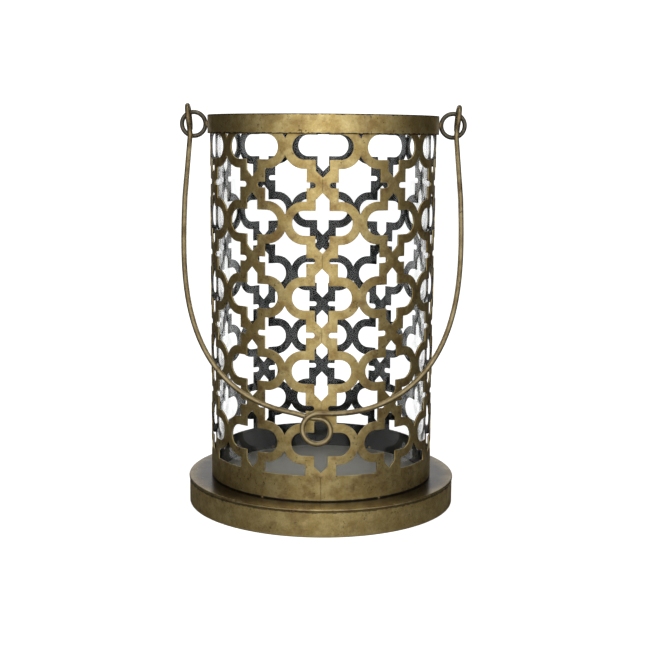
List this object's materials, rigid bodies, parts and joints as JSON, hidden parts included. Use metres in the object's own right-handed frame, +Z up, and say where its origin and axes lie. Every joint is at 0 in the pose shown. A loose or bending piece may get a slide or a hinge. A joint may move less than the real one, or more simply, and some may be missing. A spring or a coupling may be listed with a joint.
{
  "type": "hanging candle lantern",
  "caption": "Round candle lantern: a pierced lattice sleeve on a disc base, a loose glass cylinder inside it, and a wire bail that swings in two rings at the rim.",
  "frame": {"origin": "centre of the base's underside, on the surface the lantern stands on", "axes": "+Z up the lantern's axis, -Y to the front where the bail hangs, +X to the right ring"},
  "size_m": [0.1808, 0.172, 0.2547],
  "materials": {
    "antique_gold": "satin antique gold over dark steel, mottled",
    "base_plate": "satin dark bronze",
    "weld_metal": "painted weld bead",
    "ring_wire": "dark bronze wire",
    "bail_wire": "satin antique gold wire",
    "clear_glass": "clear, thin"
  },
  "bodies": {
    "lantern": {"base_top_plate": "base_plate", "base_hoop": "antique_gold", "base_bottom_plate": "base_plate", "pierced_sleeve": "antique_gold", "sleeve_seam_weld": "weld_metal", "sleeve_tack_welds": "weld_metal", "rim_band": "antique_gold", "ring_left": "ring_wire", "ring_right": "ring_wire", "ring_welds": "weld_metal"},
    "glass": {"glass_cylinder": "clear_glass"},
    "bail": {"bail": "bail_wire"}
  },
  "joints": [
    {"name": "bail_swing", "type": "hinge", "parent": "lantern", "child": "bail", "pos_m": [0, 0, 0.24729], "axis": [-1, 0, 0], "range_deg": [0, 312]},
    {"name": "glass_lift", "type": "slide", "parent": "lantern", "child": "glass", "axis": [0, 0, 1], "range_m": [0, 0.235]}
  ]
}
